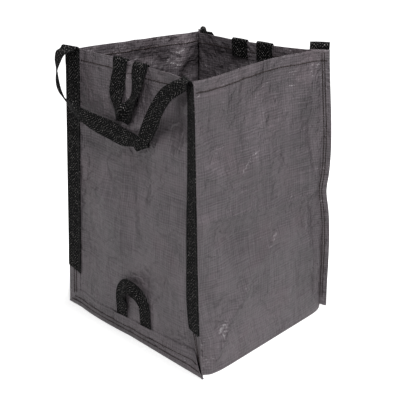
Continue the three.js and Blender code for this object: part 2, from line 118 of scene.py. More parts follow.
# Stations of the long handle: its middle as shares of the reach along X, the stand-off from the
# face and the drop or rise, then the line across it, as X, away from the face and Z
HANDLE_ROUTE = [
    (-1.1, 0.5, -0.06, 0.95, 0.2, 0.02),
    (-1.1, 0.72, -0.15, 0.9, 0.36, 0),
    (-1.09, 0.86, -0.3, 0.78, 0.62, 0.05),
    (-1.05, 0.86, -0.52, 0.68, 0.68, 0.28),
    (-0.92, 0.6, -0.72, 0.46, 0.5, 0.74),
    (-0.66, 0.32, -0.84, 0.26, 0.16, 0.95),
    (-0.33, 0.18, -0.9, 0.22, 0, 0.98),
    (-0.04, 0.14, -0.95, 0.6, 0, 0.9),
    (0.13, 0.13, -0.96, 1.2, 0, 0.75),
    (0.21, 0.13, -0.97, 1.7, 0, 0.8),
    (0.23, 0.22, -1, 1.75, 0, 0.82),
    (0.22, 0.31, -0.97, 1.7, 0, 0.7),
    (0.27, 0.33, -0.89, 1.35, 0, 0.3),
    (0.37, 0.33, -0.69, 1.08, 0, -0.1),
    (0.49, 0.36, -0.46, 0.94, 0.15, -0.2),
    (0.66, 0.4, -0.24, 0.9, 0.2, -0.22),
    (0.87, 0.42, -0.09, 0.96, 0.08, -0.1),
]
# Stations of a short loop and of the base loop, in the same terms
SHORT_ROUTE = [
    (-1, 0.2, -0.15, 1, 0.05, 0),
    (-1.12, 0.3, -0.38, 1, -0.05, 0),
    (-1.16, 0.5, -0.6, 1, 0.02, 0),
    (-0.95, 0.8, -0.84, 0.86, 0.45, 0.05),
    (-0.62, 1.02, -1.01, 0.68, 0.68, 0.08),
    (-0.38, 1.06, -1.03, 0.55, 0.75, 0.35),
    (-0.06, 0.98, -0.93, -0.25, 0.35, 0.9),
    (0.32, 0.86, -0.8, -0.8, -0.3, 0.5),
    (0.7, 0.66, -0.58, -0.88, -0.47, 0.05),
    (0.92, 0.5, -0.36, -0.95, -0.3, 0),
    (0.98, 0.38, -0.15, -0.99, -0.1, 0),
]
BASE_ROUTE = [
    (-1, 0.03, 0.2, 1, 0, 0),
    (-0.98, 0.1, 0.4, 1, 0, -0.1),
    (-0.9, 0.25, 0.62, 0.75, 0.15, -0.65),
    (-0.42, 0.42, 0.86, 0.08, 0.2, -1),
    (0.22, 0.42, 0.86, -0.2, 0.2, -0.98),
    (0.74, 0.3, 0.74, -0.75, 0.2, -0.6),
    (0.98, 0.12, 0.48, -0.98, 0.05, -0.15),
    (1, 0.04, 0.22, -1, 0, 0),
]

# Folds pressed into the panels: the points of each as place along X or Y and height in mm, how far
# it stands out before the fold relief scales it, how wide it is, and 1 if it is sharp
FOLDS = {
    "front": [
        ([(-38, 690), (-37, 495), (-36, 347), (-34, 150)], 4.4, 46, 1),
        ([(-215, 380), (-94, 356), (-36, 347)], 4.2, 60, 1),
        ([(-36, 347), (27, 352), (182, 364)], 3.6, 55, 1),
        ([(-120, 455), (-55, 346)], -3.2, 34, 1),
        ([(-36, 347), (40, 250), (60, 150)], -2.2, 60, 0),
        ([(110, 690), (130, 600), (120, 520)], -9, 70, 0),
    ],
    "right": [
        ([(19, 690), (21, 523), (20, 447), (25, 350)], 4.2, 50, 1),
        ([(-228, 380), (-103, 369), (45, 346)], 5.5, 62, 1),
        ([(45, 346), (158, 337), (225, 360)], 5.0, 60, 1),
        ([(-220, 490), (-159, 475), (-49, 460)], 1.6, 30, 1),
        ([(45, 346), (60, 300), (7, 244)], -2.4, 40, 1),
        ([(-240, 6), (-216, 34), (-175, 75), (-120, 128), (-85, 160)], 6.5, 17, 1),
        ([(-120, 128), (-60, 190), (7, 244)], 2.4, 40, 0),
        ([(7, 244), (40, 270)], 2.2, 12, 1),
        ([(7, 244), (30, 215)], 2.0, 12, 1),
        ([(7, 244), (-20, 262)], 1.6, 12, 1),
        ([(7, 244), (4, 212)], 1.6, 10, 1),
        ([(190, 600), (196, 451), (196, 380)], -4.5, 22, 0),
        ([(196, 290), (196, 204), (194, 60)], -5, 24, 0),
        ([(225, 388), (205, 372)], 3.0, 10, 1),
        ([(228, 345), (205, 330)], 2.6, 10, 1),
    ],
    "rear": [
        ([(-10, 690), (-12, 380), (-8, 140)], 2.8, 50, 1),
        ([(-215, 366), (-70, 352), (60, 348), (205, 372)], 4.8, 60, 1),
        ([(150, 640), (90, 500), (20, 400)], -4, 60, 0),
        ([(-160, 120), (-60, 230), (0, 340)], 2.5, 40, 0),
        ([(60, 348), (140, 240), (150, 110)], -2.6, 55, 0),
    ],
    "left": [
        ([(-22, 705), (-18, 520), (-14, 352), (-10, 150)], 7.5, 30, 1),
        ([(-205, 372), (-60, 350), (80, 352), (210, 366)], 4.8, 60, 1),
        ([(150, 690), (120, 600), (60, 500)], -5, 40, 0),
        ([(-150, 100), (-60, 230), (6, 350)], 2.6, 45, 0),
    ],
}
# How far in mm the rim of each face bows out and where along the face, as a share, then how far
# its foot bows out and how flat that bow is
BOWS = {
    "front": (-11, 0.35, 14, 3),
    "right": (-27, 0.64, 19, 13),
    "rear": (-21, 0.42, 16, 4),
    "left": (-3, 0.5, 22, 7),
}
# How far in mm each strap rises above the rim before it folds over
RISES = {"front_left": 0.5, "front_right": 3.0, "rear_left": 10.0, "rear_right": 0.5}
# The seed of each face's waviness
SEEDS = {"front": 1, "right": 2, "rear": 3, "left": 4}

# The camera: how far round from the front and up it stands, metres from its target, and how far
# the target is to the right in the picture and above the ground
CAMERA_AROUND, CAMERA_UP, CAMERA_AWAY = math.radians(44.61), math.radians(22.38), 2.15
CAMERA_ASIDE, CAMERA_AIM = 0.0025, 0.3093
LENS, SENSOR = 72, 36
# The lamps: place, width of the square and power in watts
LAMP_AIM = (0, 0, 0.35)
LAMPS = {
    "key": ((1.55, -1.2, 3.2), 0.6, 66),
    "fill": ((-2.2, -2.2, 1.5), 1.8, 8),
    "top": ((0.6, 0.4, 3.1), 1.2, 52),
}


def length_setting(name, description, default):
    return bpy.props.FloatProperty(name=name, description=description, default=default, unit="LENGTH")


def colour_setting(name, description, default):
    return bpy.props.FloatVectorProperty(
        name=name, description=description, subtype="COLOR", default=default
    )


class BagSizes(bpy.types.PropertyGroup):
    cloth: length_setting("Cloth", "Thickness of the woven cloth", 0.0007)
    webbing: length_setting("Webbing", "Thickness of the webbing", 0.0019)
    hem: length_setting("Hem", "Height of the hem folded inside the rim", 0.037)
    hem_row: length_setting("Hem row", "How far the hem's stitching is below the rim", 0.026)
    base_margin: length_setting("Base margin", "Height of the base cloth folded up over the foot", 0.05)
    strap_foot: length_setting("Strap foot", "Height at which the corner straps end", 0.107)
    stitch: length_setting("Stitch", "Pitch of the stitches", 0.0066)
    thread: length_setting("Thread", "Diameter of the thread", 0.0025)
    fold_relief: bpy.props.FloatProperty(
        name="Fold relief",
        description="Strength of the pressed folds",
        default=2.3,
        min=0,
        max=3,
        subtype="FACTOR",
    )


class BagColours(bpy.types.PropertyGroup):
    cloth: colour_setting("Cloth", "Colour of the woven cloth", (0.108, 0.094, 0.103))
    webbing: colour_setting("Webbing", "Colour of the webbing", (0.0065, 0.0065, 0.0068))
    thread: colour_setting("Thread", "Colour of the seam thread", (0.018, 0.009, 0.007))
    floor: colour_setting("Floor", "Colour of the floor", (0.8, 0.8, 0.8))


# Curves and surfaces


def spline(table, at):
    """Smooth values between the rows of a table, whose first column rises."""
    rows = np.asarray(table, float)
    x, y = rows[:, 0], rows[:, 1:]
    slope = np.gradient(y, x, axis=0)
    at = np.asarray(at, float)
    i = np.clip(np.searchsorted(x, at, side="right") - 1, 0, len(x) - 2)
    h = (x[i + 1] - x[i])[:, None]
    k = (at[:, None] - x[i][:, None]) / h
    return (
        (1 + 2 * k) * (1 - k) ** 2 * y[i]
        + k * (1 - k) ** 2 * h * slope[i]
        + k * k * (3 - 2 * k) * y[i + 1]
        + k * k * (k - 1) * h * slope[i + 1]
    )


def smoothstep(a, b, x):
    k = np.clip((np.asarray(x, float) - a) / (b - a), 0, 1)
    return k * k * (3 - 2 * k)


def unit(v):
    return v / np.maximum(np.linalg.norm(v, axis=-1, keepdims=True), 1e-9)


def run_along(line):
    """How far along a line each of its points lies."""
    return np.concatenate([[0], np.cumsum(np.linalg.norm(np.diff(line, axis=0), axis=1))])


def run_across(points):
    """How far along its row each point of a grid lies."""
    steps = np.linalg.norm(np.diff(points, axis=1), axis=2)
    return np.concatenate([np.zeros((len(points), 1)), np.cumsum(steps, 1)], 1)


class Corner:
    """A corner seam at a set of heights, given as shares of the bag's height."""

    def __init__(self, name, t):
        row = spline(CORNERS[name], t)
        turn = np.radians(row[:, 3])
        self.edge, self.z, self.width = row[:, :2], row[:, 2], row[:, 4]
        self.inward = np.stack([np.cos(turn), np.sin(turn)], 1)
        self.out = HAND[name] * np.stack([-np.sin(turn), np.cos(turn)], 1)

    def at(self, inset, off):
        """Points inset from the edge and off its middle, out towards the strap."""
        inset, off = np.asarray(inset, float), np.asarray(off, float)
        middle = self.edge[:, None] + self.inward[:, None] * inset[..., None]
        return middle + self.out[:, None] * off[..., None]


def gap(t):
    """Half the room between a fin's two layers, wider where the hem is."""
    return 1.0 + 1.2 * smoothstep(0.93, 0.955, t)


def nearest(points, line):
    """Distance of each point from a line of points, and how far along it that is, as a share."""
    line = np.asarray(line, float)
    best = np.full(points.shape[:-1], 1e9)
    share = np.zeros(points.shape[:-1])
    long = run_along(line)
    for k in range(len(line) - 1):
        d = line[k + 1] - line[k]
        u = np.clip(((points - line[k]) @ d) / (d @ d), 0, 1)
        r = np.linalg.norm(points - line[k] - u[..., None] * d, axis=-1)
        near = r < best
        best = np.where(near, r, best)
        share = np.where(near, (long[k] + u * math.sqrt(d @ d)) / long[-1], share)
    return best, share


def waves(a, b, seed, low, high, count):
    """Gentle waviness of about one unit, the same on every run."""
    rng = np.random.default_rng(seed)
    total = np.zeros(np.broadcast(a, b).shape)
    for _ in range(count):
        angle, length, phase = rng.uniform(0, math.pi), rng.uniform(low, high), rng.uniform(0, 6.28)
        k = 2 * math.pi / length
        total = total + np.sin(k * (a * math.cos(angle) + b * math.sin(angle)) + phase)
    return total / math.sqrt(count)


def relief(face, along, z, edge):
    """How far a panel's folds stand out at a place and height; edge is the distance from its ends."""
    height = np.zeros(np.broadcast(along, z).shape)
    points = np.stack(np.broadcast_arrays(along, z), -1)
    for line, stand, width, sharp in FOLDS[face]:
        far, share = nearest(points, line)
        if sharp:
            profile = 0.7 * np.maximum(0, 1 - far / width) ** 1.3 + 0.3 * np.exp(-far / (0.1 * width))
        else:
            profile = np.exp(-((far / (0.5 * width)) ** 2))
        height = height + stand * profile * (0.35 + 0.65 * np.sin(math.pi * np.clip(share, 0.06, 0.94)))
    seed = SEEDS[face]
    calm = smoothstep(0, 90, z) * (1 - 0.6 * smoothstep(HEIGHT - 70, HEIGHT, z))
    slow, quick = waves(along, z, seed, 120, 280, 6), waves(along, z, seed + 10, 40, 90, 8)
    height = height + calm * 2.2 * slow + calm * 0.5 * quick
    below_rim, pucker_height = 30, 16
    pucker = np.exp(-((z - (HEIGHT - below_rim)) / pucker_height) ** 2)
    height = height + pucker * 0.7 * waves(along, z * 0.2, seed + 20, 22, 60, 5)
    return bpy.context.scene.bag_sizes.fold_relief * height * smoothstep(0, 28, edge)


def span(face, starts, ends, start_way, end_way, t, z, shares, soften=12.0):
    """The free part of a panel between two seams: x and y of its points, rows by columns."""
    chord = ends - starts
    length = np.linalg.norm(chord, axis=1)
    way = chord / length[:, None]
    outward = np.stack([way[:, 1], -way[:, 0]], 1)
    d = shares[None] * length[:, None]
    back = length[:, None] - d
    p = starts[:, None] + way[:, None] * d[..., None]
    p = p + (start_way - way)[:, None] * (d * np.exp(-d / soften))[..., None]
    p = p + (end_way + way)[:, None] * (back * np.exp(-back / soften))[..., None]
    rim, place, foot, flat = BOWS[face]
    bend = math.log(0.5) / math.log(place)
    hump = np.sin(math.pi * shares[None] ** bend)
    low = 1 - np.abs(2 * shares[None] - 1) ** flat
    bow = rim * hump * (smoothstep(0.25, 1, t) ** 1.4)[:, None]
    bow = bow + foot * low * (np.clip(1 - t, 0, 1) ** 3.2)[:, None]
    axis = 0 if face in ("front", "rear") else 1
    bow = bow + relief(face, p[..., axis], np.repeat(z[:, None], p.shape[1], 1), np.minimum(d, back))
    return p + outward[:, None] * bow[..., None]


def with_heights(a, b, first, middle, last):
    """A panel's rows in mm: its two seam parts and its free part, with heights from seam to seam."""
    flat = np.concatenate([first[:, :-1], middle, last[:, 1:]], 1)
    z = a.z[:, None] + (b.z - a.z)[:, None] * np.linspace(0, 1, middle.shape[1])[None]
    ends = first.shape[1] - 1
    z = np.concatenate([np.repeat(z[:, :1], ends, 1), z, np.repeat(z[:, -1:], ends, 1)], 1)
    return np.concatenate([flat, z[..., None]], 2)


def panel_rows(face, t, inset=5.0):
    """A front or rear panel's sheet at the given heights: points in mm, rows by columns."""
    a, b = (Corner(name, t) for name in FACES[face])
    q = np.repeat(np.linspace(inset, STRAP_SPAN, SEAM_COLUMNS)[None], len(t), 0)
    left, right = a.at(q, 0 * q), b.at(q[:, ::-1], 0 * q)
    shares = np.linspace(0, 1, PANEL_COLUMNS)
    middle = span(face, left[:, -1], right[:, 0], a.inward, b.inward, t, a.z, shares)
    return with_heights(a, b, left, middle, right)


def side_rows(face, t):
    """A side panel with its fins and flanges: points in mm, rows by columns, and its free columns."""
    a, b = (Corner(name, t) for name in FACES[face])
    g = gap(t)
    flange, turn, fin = np.linspace(0, 1, 9), np.radians(np.arange(0, 181, 30)), np.linspace(0, 1, 6)

    def seam(c):
        q = [
            FLANGE + (g[:, None] - FLANGE) * flange[None, :-1],
            g[:, None] * (1 - np.sin(turn))[None],
            g[:, None] + (c.width[:, None] - g[:, None]) * fin[None, 1:],
        ]
        off = [np.repeat(g[:, None], 8, 1), g[:, None] * np.cos(turn)[None], np.repeat(-g[:, None], 5, 1)]
        return c.at(np.concatenate(q, 1), np.concatenate(off, 1))

    first, last = seam(a), seam(b)[:, ::-1]
    shares = np.linspace(0, 1, SIDE_COLUMNS)
    middle = span(face, first[:, -1], last[:, 0], a.inward, b.inward, t, a.z, shares, 9.0)
    ends = first.shape[1] - 1
    return with_heights(a, b, first, middle, last), slice(ends, ends + SIDE_COLUMNS)


def inner_side(rows):
    """Level unit vectors to the left of each row's way, which is the bag's inside."""
    way = np.gradient(rows[..., :2], axis=1)
    left = unit(np.stack([-way[..., 1], way[..., 0]], -1))
    return np.concatenate([left, np.zeros(left.shape[:-1] + (1,))], -1)


def with_hem(make, t, steps):
    """A panel's rows at these heights, then folded over the rim by these steps and down inside."""
    hem = bpy.context.scene.bag_sizes.hem * TO_MM
    inside = make(np.linspace(1, 1 - hem / HEIGHT, 8))
    inward = inner_side(inside)
    lifts = (0.35, 0.5, 0.35)
    fold = [inside[0] + inward[0] * step + np.array([0, 0, lift]) for step, lift in zip(steps, lifts)]
    return np.concatenate([make(t), np.array(fold), inside + inward * HEM_FOLD], 0)


# Meshes


def deselect():
    bpy.ops.object.select_all(action="DESELECT")


def pick(piece):
    """Makes a piece the active one and the only one selected."""
    deselect()
    piece.select_set(True)
    bpy.context.view_layer.objects.active = piece


def face_outwards(piece, merge=0.0):
    """Turns a piece's faces outwards, after its points closer than merge are made one."""
    pick(piece)
    bpy.ops.object.mode_set(mode="EDIT")
    bpy.ops.mesh.select_all(action="SELECT")
    if merge:
        bpy.ops.mesh.remove_doubles(threshold=merge)
        bpy.ops.mesh.select_all(action="SELECT")
    bpy.ops.mesh.normals_make_consistent(inside=False)
    bpy.ops.object.mode_set(mode="OBJECT")


def lay_flat(mesh, layer, uv):
    """Writes each point's place on the flat cloth or webbing, given in mm, to a UV map."""
    loops = np.zeros(len(mesh.loops), np.int32)
    mesh.loops.foreach_get("vertex_index", loops)
    layer.data.foreach_set("uv", (uv[loops] * MM).astype(np.float32).ravel())


def grid(name, points, centred=True):
    """A sheet through a grid of points in mm, rows by columns. Its UV map is the flat sheet in metres,
    with its zero across in the middle column where it is centred and in the first one otherwise."""
    deselect()
    rows, columns = points.shape[:2]
    bpy.ops.mesh.primitive_grid_add(x_subdivisions=columns - 1, y_subdivisions=rows - 1, calc_uvs=True)
    piece = bpy.context.object
    mesh = piece.data
    piece.name = mesh.name = name
    if len(mesh.vertices) != rows * columns:
        raise RuntimeError(f"{name}: the grid has {len(mesh.vertices)} points, not {rows * columns}")
    mesh.vertices.foreach_set("co", (points * MM).astype(np.float32).ravel())
    across = run_across(points)
    if centred:
        across = across - across[:, columns // 2][:, None]
        up = np.concatenate([[0], np.cumsum(np.linalg.norm(np.diff(points, axis=0), axis=2).mean(1))])
    else:
        up = run_along(points.mean(1))
    flat = np.stack([across, np.repeat(up[:, None], columns, 1)], -1)
    lay_flat(mesh, mesh.uv_layers.active, flat.reshape(-1, 2))
    mesh.update()
    return piece


def joined(name, pieces):
    """One piece of several, which stop being pieces of their own."""
    deselect()
    for piece in pieces:
        piece.select_set(True)
    bpy.context.view_layer.objects.active = pieces[0]
    bpy.ops.object.join()
    piece = bpy.context.object
    piece.name = piece.data.name = name
    return piece


def thickened(piece, thickness, merge=0.0):
    """Gives a sheet its thickness, half to each side, and shades it smooth."""
    face_outwards(piece, merge)
    solid = piece.modifiers.new("Thickness", "SOLIDIFY")
    solid.thickness, solid.offset, solid.use_even_offset = thickness, 0, True
    bpy.ops.object.modifier_apply(modifier=solid.name)
    bpy.ops.object.shade_smooth_by_angle(angle=math.radians(50))
    return piece


def webbing_sheet(name, points):
    return thickened(grid(name, points, centred=False), bpy.context.scene.bag_sizes.webbing)


def ribbon(name, line, width, cup, columns=9):
    """Webbing along stations, each its middle and the line across it, cupped by so much in mm."""
    middle, ruling = line[:, :3], unit(line[:, 3:])
    face = unit(np.cross(unit(np.gradient(middle, axis=0)), ruling))
    q = np.linspace(-0.5, 0.5, columns)
    lift = cup * (1 - (2 * q) ** 2)
    points = middle[:, None] + ruling[:, None] * (q * width)[None, :, None]
    return webbing_sheet(name, points + face[:, None] * lift[None, :, None])


def finer(table, steps):
    """More rows between those given, on a smooth curve."""
    table = np.asarray(table, float)
    long = run_along(table[:, :3])
    return spline(np.column_stack([long, table]), np.linspace(0, long[-1], steps))


def stitch_shape():
    """Points and faces of one stitch: a six-sided rod, 1 long and 1 thick, with bevelled ends."""
    deselect()
    bpy.ops.mesh.primitive_cylinder_add(vertices=6, radius=0.5, depth=1, end_fill_type="NGON")
    bpy.ops.object.mode_set(mode="EDIT")
    bpy.ops.mesh.select_all(action="SELECT")
    bpy.ops.mesh.bevel(offset=0.22, segments=1, affect="EDGES", clamp_overlap=True)
    bpy.ops.object.mode_set(mode="OBJECT")
    one = bpy.context.object
    shape = np.zeros(len(one.data.vertices) * 3)
    one.data.vertices.foreach_get("co", shape)
    faces = [list(f.vertices) for f in one.data.polygons]
    bpy.data.objects.remove(one)
    return shape.reshape(-1, 3), faces


def stitches(name, rows, lift):
    """Stitches along rows: each row is a line of points and the outward direction at each."""
    sizes = bpy.context.scene.bag_sizes
    pitch, thickness = sizes.stitch * TO_MM, sizes.thread * TO_MM
    shape, faces = stitch_shape()
    points, polygons, uvs = [], [], []
    for line, outward in rows:
        line, outward = np.asarray(line, float), unit(np.asarray(outward, float))
        long = run_along(line)
        count = max(1, int(long[-1] / pitch))
        for k in range(count):
            ends = [(k + 0.05) / count * long[-1], (k + 0.95) / count * long[-1]]
            a, b = (np.array([np.interp(e, long, line[:, i]) for i in range(3)]) for e in ends)
            out = unit(np.array([np.interp(sum(ends) / 2, long, outward[:, i]) for i in range(3)]))
            way = unit(b - a)
            side = unit(np.cross(way, out))
            out = np.cross(side, way)
            size = np.linalg.norm(b - a)
            sag = (1 - (2 * shape[:, 2]) ** 2) * 0.18 * thickness
            first = len(points) * len(shape)
            points.append(
                (a + b) / 2
                + out * lift
                + side * (shape[:, :1] * thickness * 1.05)
                + out * (shape[:, 1:2] * thickness * 0.8 + sag[:, None])
                + way * (shape[:, 2:] * size)
            )
            polygons += [[first + v for v in f] for f in faces]
            uvs.append(np.column_stack([shape[:, 0] * thickness, shape[:, 2] * size + k * pitch]))
    mesh = bpy.data.meshes.new(name)
    mesh.from_pydata((np.concatenate(points) * MM).tolist(), [], polygons)
    lay_flat(mesh, mesh.uv_layers.new(name="UVMap"), np.concatenate(uvs))
    piece = bpy.data.objects.new(name, mesh)
    bpy.context.scene.collection.objects.link(piece)
    face_outwards(piece)
    bpy.ops.object.shade_smooth_by_angle(angle=math.radians(60))
    return piece


def placed(piece, node, material, body="bag"):
    """Puts a finished piece in the place of a CAD node, on the named body unless body is None."""
    piece.data.materials.clear()
    piece.data.materials.append(finish(material))
    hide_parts(node)
    if body:
        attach(piece, body)
    return piece


# Materials


class Value:
    """A number of a material's nodes, used in sums."""

    def __init__(self, tree, socket):
        self.tree, self.socket = tree, socket

    def math(self, operation, *others):
        node = self.tree.nodes.new("ShaderNodeMath")
        node.operation = operation
        for slot, value in zip(node.inputs, others):
            if isinstance(value, Value):
                self.tree.links.new(value.socket, slot)
            else:
                slot.default_value = value
        return Value(self.tree, node.outputs[0])

    def __add__(self, other):
        return self.math("ADD", self, other)

    def __radd__(self, other):
        return self.math("ADD", other, self)

    def __sub__(self, other):
        return self.math("SUBTRACT", self, other)

    def __rsub__(self, other):
        return self.math("SUBTRACT", other, self)

    def __mul__(self, other):
        return self.math("MULTIPLY", self, other)

    def __rmul__(self, other):
        return self.math("MULTIPLY", other, self)

    def __truediv__(self, other):
        return self.math("DIVIDE", self, other)

    def wave(self, pitch):
        """A sine of this length, in metres, from 0 to 1."""
        angle = self * (2 * math.pi / pitch)
        return angle.math("SINE", angle) * 0.5 + 0.5

    def power(self, other):
        return self.math("POWER", self, other)

    def fraction(self):
        return self.math("FRACT", self)

    def absolute(self):
        return self.math("ABSOLUTE", self)

    def above(self, other):
        return self.math("GREATER_THAN", self, other)

    def smooth(self, low, high):
        """From 0 at low to 1 at high, along a smooth curve."""
        node = self.tree.nodes.new("ShaderNodeMapRange")
        node.interpolation_type = "SMOOTHSTEP"
        node.inputs[1].default_value, node.inputs[2].default_value = low, high
        self.tree.links.new(self.socket, node.inputs[0])
        return Value(self.tree, node.outputs[0])


class Finish:
    """A material under construction."""

    def __init__(self, name):
        self.material = bpy.data.materials.new(name)
        self.material.use_nodes = True
        self.tree = self.material.node_tree
        self.shader = next(n for n in self.tree.nodes if n.type == "BSDF_PRINCIPLED")

    def node(self, kind, settings=None, **values):
        """A node of this kind; a socket is given by its name, or by its number after the letter i."""
        node = self.tree.nodes.new("ShaderNode" + kind)
        for name, value in (settings or {}).items():
            setattr(node, name, value)
        for name, value in values.items():
            numbered = name[0] == "i" and name[1:].isdigit()
            self.feed(node.inputs[int(name[1:]) if numbered else name.replace("_", " ")], value)
        return node

    def feed(self, slot, value):
        if isinstance(value, Value):
            self.tree.links.new(value.socket, slot)
        elif isinstance(value, bpy.types.NodeSocket):
            self.tree.links.new(value, slot)
        else:
            slot.default_value = value

    def value(self, node, output=0):
        return Value(self.tree, node.outputs[output])

    def cloth_place(self):
        """The place on the flat cloth, and its parts across and up, in metres."""
        place = self.node("UVMap").outputs[0]
        parts = self.node("SeparateXYZ", i0=place)
        return place, self.value(parts, 0), self.value(parts, 1)

    def stretched(self, place, scale):
        """A place scaled along each axis, for noise that runs one way."""
        return self.node("Mapping", i0=place, Scale=scale).outputs[0]

    def noise(self, place, scale, detail=2.0, rough=0.5):
        return self.value(self.node("TexNoise", i0=place, Scale=scale, Detail=detail, Roughness=rough))

    def mix(self, share, first, second, mode="MIX"):
        node = self.node("Mix", {"data_type": "RGBA", "blend_type": mode})
        self.feed(node.inputs[0], share)
        self.feed(node.inputs[6], first)
        self.feed(node.inputs[7], second)
        return node.outputs[2]

    def bump(self, height, strength, distance, normal=None):
        node = self.node("Bump", Height=height, Strength=strength, Distance=distance)
        if normal is not None:
            self.feed(node.inputs["Normal"], normal)
        return node.outputs[0]

    def set(self, **values):
        for name, value in values.items():
            self.feed(self.shader.inputs[name.replace("_", " ")], value)


def shade(colour, factor):
    """A colour made lighter or darker, with full alpha."""
    return tuple(min(1.0, c * factor) for c in colour) + (1.0,)


def woven_cloth(colour):
    """Coated cloth of flat woven tapes, with a square grid of thicker ones, and painted light and shade in
    broad patches and along its folds.
    """
    tape, rib_pitch, stray = 0.0022, 0.0066, 0.0012
    f = Finish("woven cloth")
    place, u, v = f.cloth_place()
    body = f.node("TexCoord").outputs["Object"]
    wander = f.noise(place, 60.0, 2.0) - 0.5
    across, up = u + wander * stray, v + wander * stray
    fine = (across.wave(2 * tape) - 0.5) * (up.wave(2 * tape) - 0.5)
    ribs = across.wave(rib_pitch).power(5.0) + up.wave(rib_pitch).power(5.0)
    streak_u = f.noise(f.stretched(place, (420, 9, 1)), 1.0, 2.0) - 0.5
    streak_v = f.noise(f.stretched(place, (9, 420, 1)), 1.0, 2.0) - 0.5
    streaks = streak_u + streak_v
    # Broad patches of painted light and shade in the cloth's lightness, which also warm its tint in places
    patch = f.noise(body, 9.0, 3.0, 0.6)
    scuff = f.noise(body, 70.0, 4.0, 0.65)
    # Painted sheen along the folds: long upright streaks of painted light and shade in the cloth's lightness
    painted_fold_sheen = f.noise(f.stretched(body, (11, 11, 5)), 1.0, 3.0, 0.6)
    light = 0.38 + ribs * 0.4 + streaks * 1.5 + (patch - 0.5) * 0.8 + (painted_fold_sheen - 0.5) * 1.2
    tone = f.mix(light.smooth(-0.1, 1.1), shade(colour, 0.62), shade(colour, 1.46))
    warmer = (colour[0] * 1.16, colour[1] * 0.98, colour[2] * 0.98, 1)
    warm = f.mix((patch - 0.42).smooth(0.0, 0.4) * 0.35, tone, warmer)
    worn = f.mix(scuff.smooth(0.62, 0.8) * 0.3, warm, shade(colour, 1.7))
    weave = fine * 0.5 + ribs * 0.35 + streaks * 0.5
    crinkle = f.noise(body, 38.0, 4.0, 0.6)
    crumple = f.noise(body, 15.0, 3.0, 0.55)
    ridge = 1.0 - (crumple - 0.5).absolute().smooth(0.0, 0.05)
    normal = f.bump(crumple + crinkle * 0.22 + ridge * 0.045, 0.8, 0.03)
    normal = f.bump(weave, 0.7, 0.0009, normal)
    roughness = 0.36 + (scuff - 0.5) * 0.2 + streaks * 0.12
    f.set(Base_Color=worn, Roughness=roughness, Specular_IOR_Level=0.55, Normal=normal)
    return f.material


def webbing_finish(colour):
    """Polypropylene webbing in a herringbone weave, with painted sheen on its ribs and painted glints."""
    half, rib_pitch, cord_pitch, edge = 0.0255, 0.0088, 0.0021, 0.0238
    f = Finish("webbing weave")
    place, u, v = f.cloth_place()
    lane = (u / half + 0.001).fraction()
    side = (lane - 0.5).absolute() * half * 1.3
    rib = (v + side).wave(rib_pitch).power(1.5)
    cord = u.wave(cord_pitch)
    fibre = f.noise(f.stretched(place, (420, 260, 1)), 1.0, 3.0, 0.7)
    # Painted glints: sparse bright flecks painted onto the rib lines, where they also make the webbing less
    # rough
    glint_spots = f.noise(f.stretched(place, (500, 260, 1)), 1.0, 1.0, 0.5)
    # The rib lines are painted lighter: part the weave's pattern, part painted sheen on the rib crests
    line = rib.power(2.5)
    painted_glint = glint_spots.smooth(0.55, 0.68) * line
    tone = f.mix(line, shade(colour, 0.05), shade(colour, 2.3))
    tone = f.mix(painted_glint * 0.85, tone, (0.4, 0.38, 0.37, 1))
    selvedge = ((u - half).absolute() - edge).above(0.0)
    tone = f.mix(selvedge * 0.4, tone, shade(colour, 1.8))
    normal = f.bump(rib * 0.7 + cord * 0.2 + fibre * 0.35, 0.75, 0.0011)
    f.set(Base_Color=tone, Roughness=0.7 - painted_glint * 0.3, Specular_IOR_Level=0.08, Normal=normal)
    return f.material


def thread_finish(name, colour):
    """Thread of twisted plies, with fuzz between them."""
    f = Finish(name)
    place, u, v = f.cloth_place()
    twist = (v + u * 1.2).wave(0.0011)
    fuzz = f.noise(place, 900.0, 2.0)
    tone = f.mix(twist * 0.6 + fuzz * 0.4, shade(colour, 0.6), shade(colour, 1.6))
    f.set(Base_Color=tone, Roughness=0.6 + fuzz * 0.15, Normal=f.bump(twist, 0.6, 0.0003))
    return f.material


def floor_finish(colour):
    """A pale floor that the camera sees as white, a little darker close to the bag."""
    near, fade = (0.25, 0.25, 1), 0.16
    f = Finish("pale floor")
    seen = f.value(f.node("LightPath"), 0)
    place = f.node("TexCoord").outputs["Object"]
    tone = f.mix(f.noise(place, 3.0, 2.0), shade(colour, 0.98), shade(colour, 1.02))
    corner = f.node("VectorMath", {"operation": "ABSOLUTE"}, i0=place).outputs[0]
    beyond = f.node("VectorMath", {"operation": "SUBTRACT"}, i0=corner, i1=near)
    beyond = f.node("VectorMath", {"operation": "MAXIMUM"}, i0=beyond.outputs[0], i1=(0, 0, 0))
    away = f.value(f.node("VectorMath", {"operation": "LENGTH"}, i0=beyond.outputs[0]), 1)
    glow = f.mix(away.smooth(0.0, fade), (0.4, 0.4, 0.4, 1), (1, 1, 1, 1))
    f.set(Base_Color=tone, Roughness=0.9, Specular_IOR_Level=0.1, Emission_Color=glow, Emission_Strength=seen)
    return f.material


def finish(name):
    """The named material, made once."""
    found = bpy.data.materials.get(name)
    if found:
        return found
    colours = bpy.context.scene.bag_colours
    if name == "woven cloth":
        return woven_cloth(tuple(colours.cloth))
    if name == "webbing weave":
        return webbing_finish(tuple(colours.webbing))
    if name == "seam thread":
        return thread_finish(name, tuple(colours.thread))
    return thread_finish(name, tuple(0.45 * c for c in colours.webbing))


# Operators


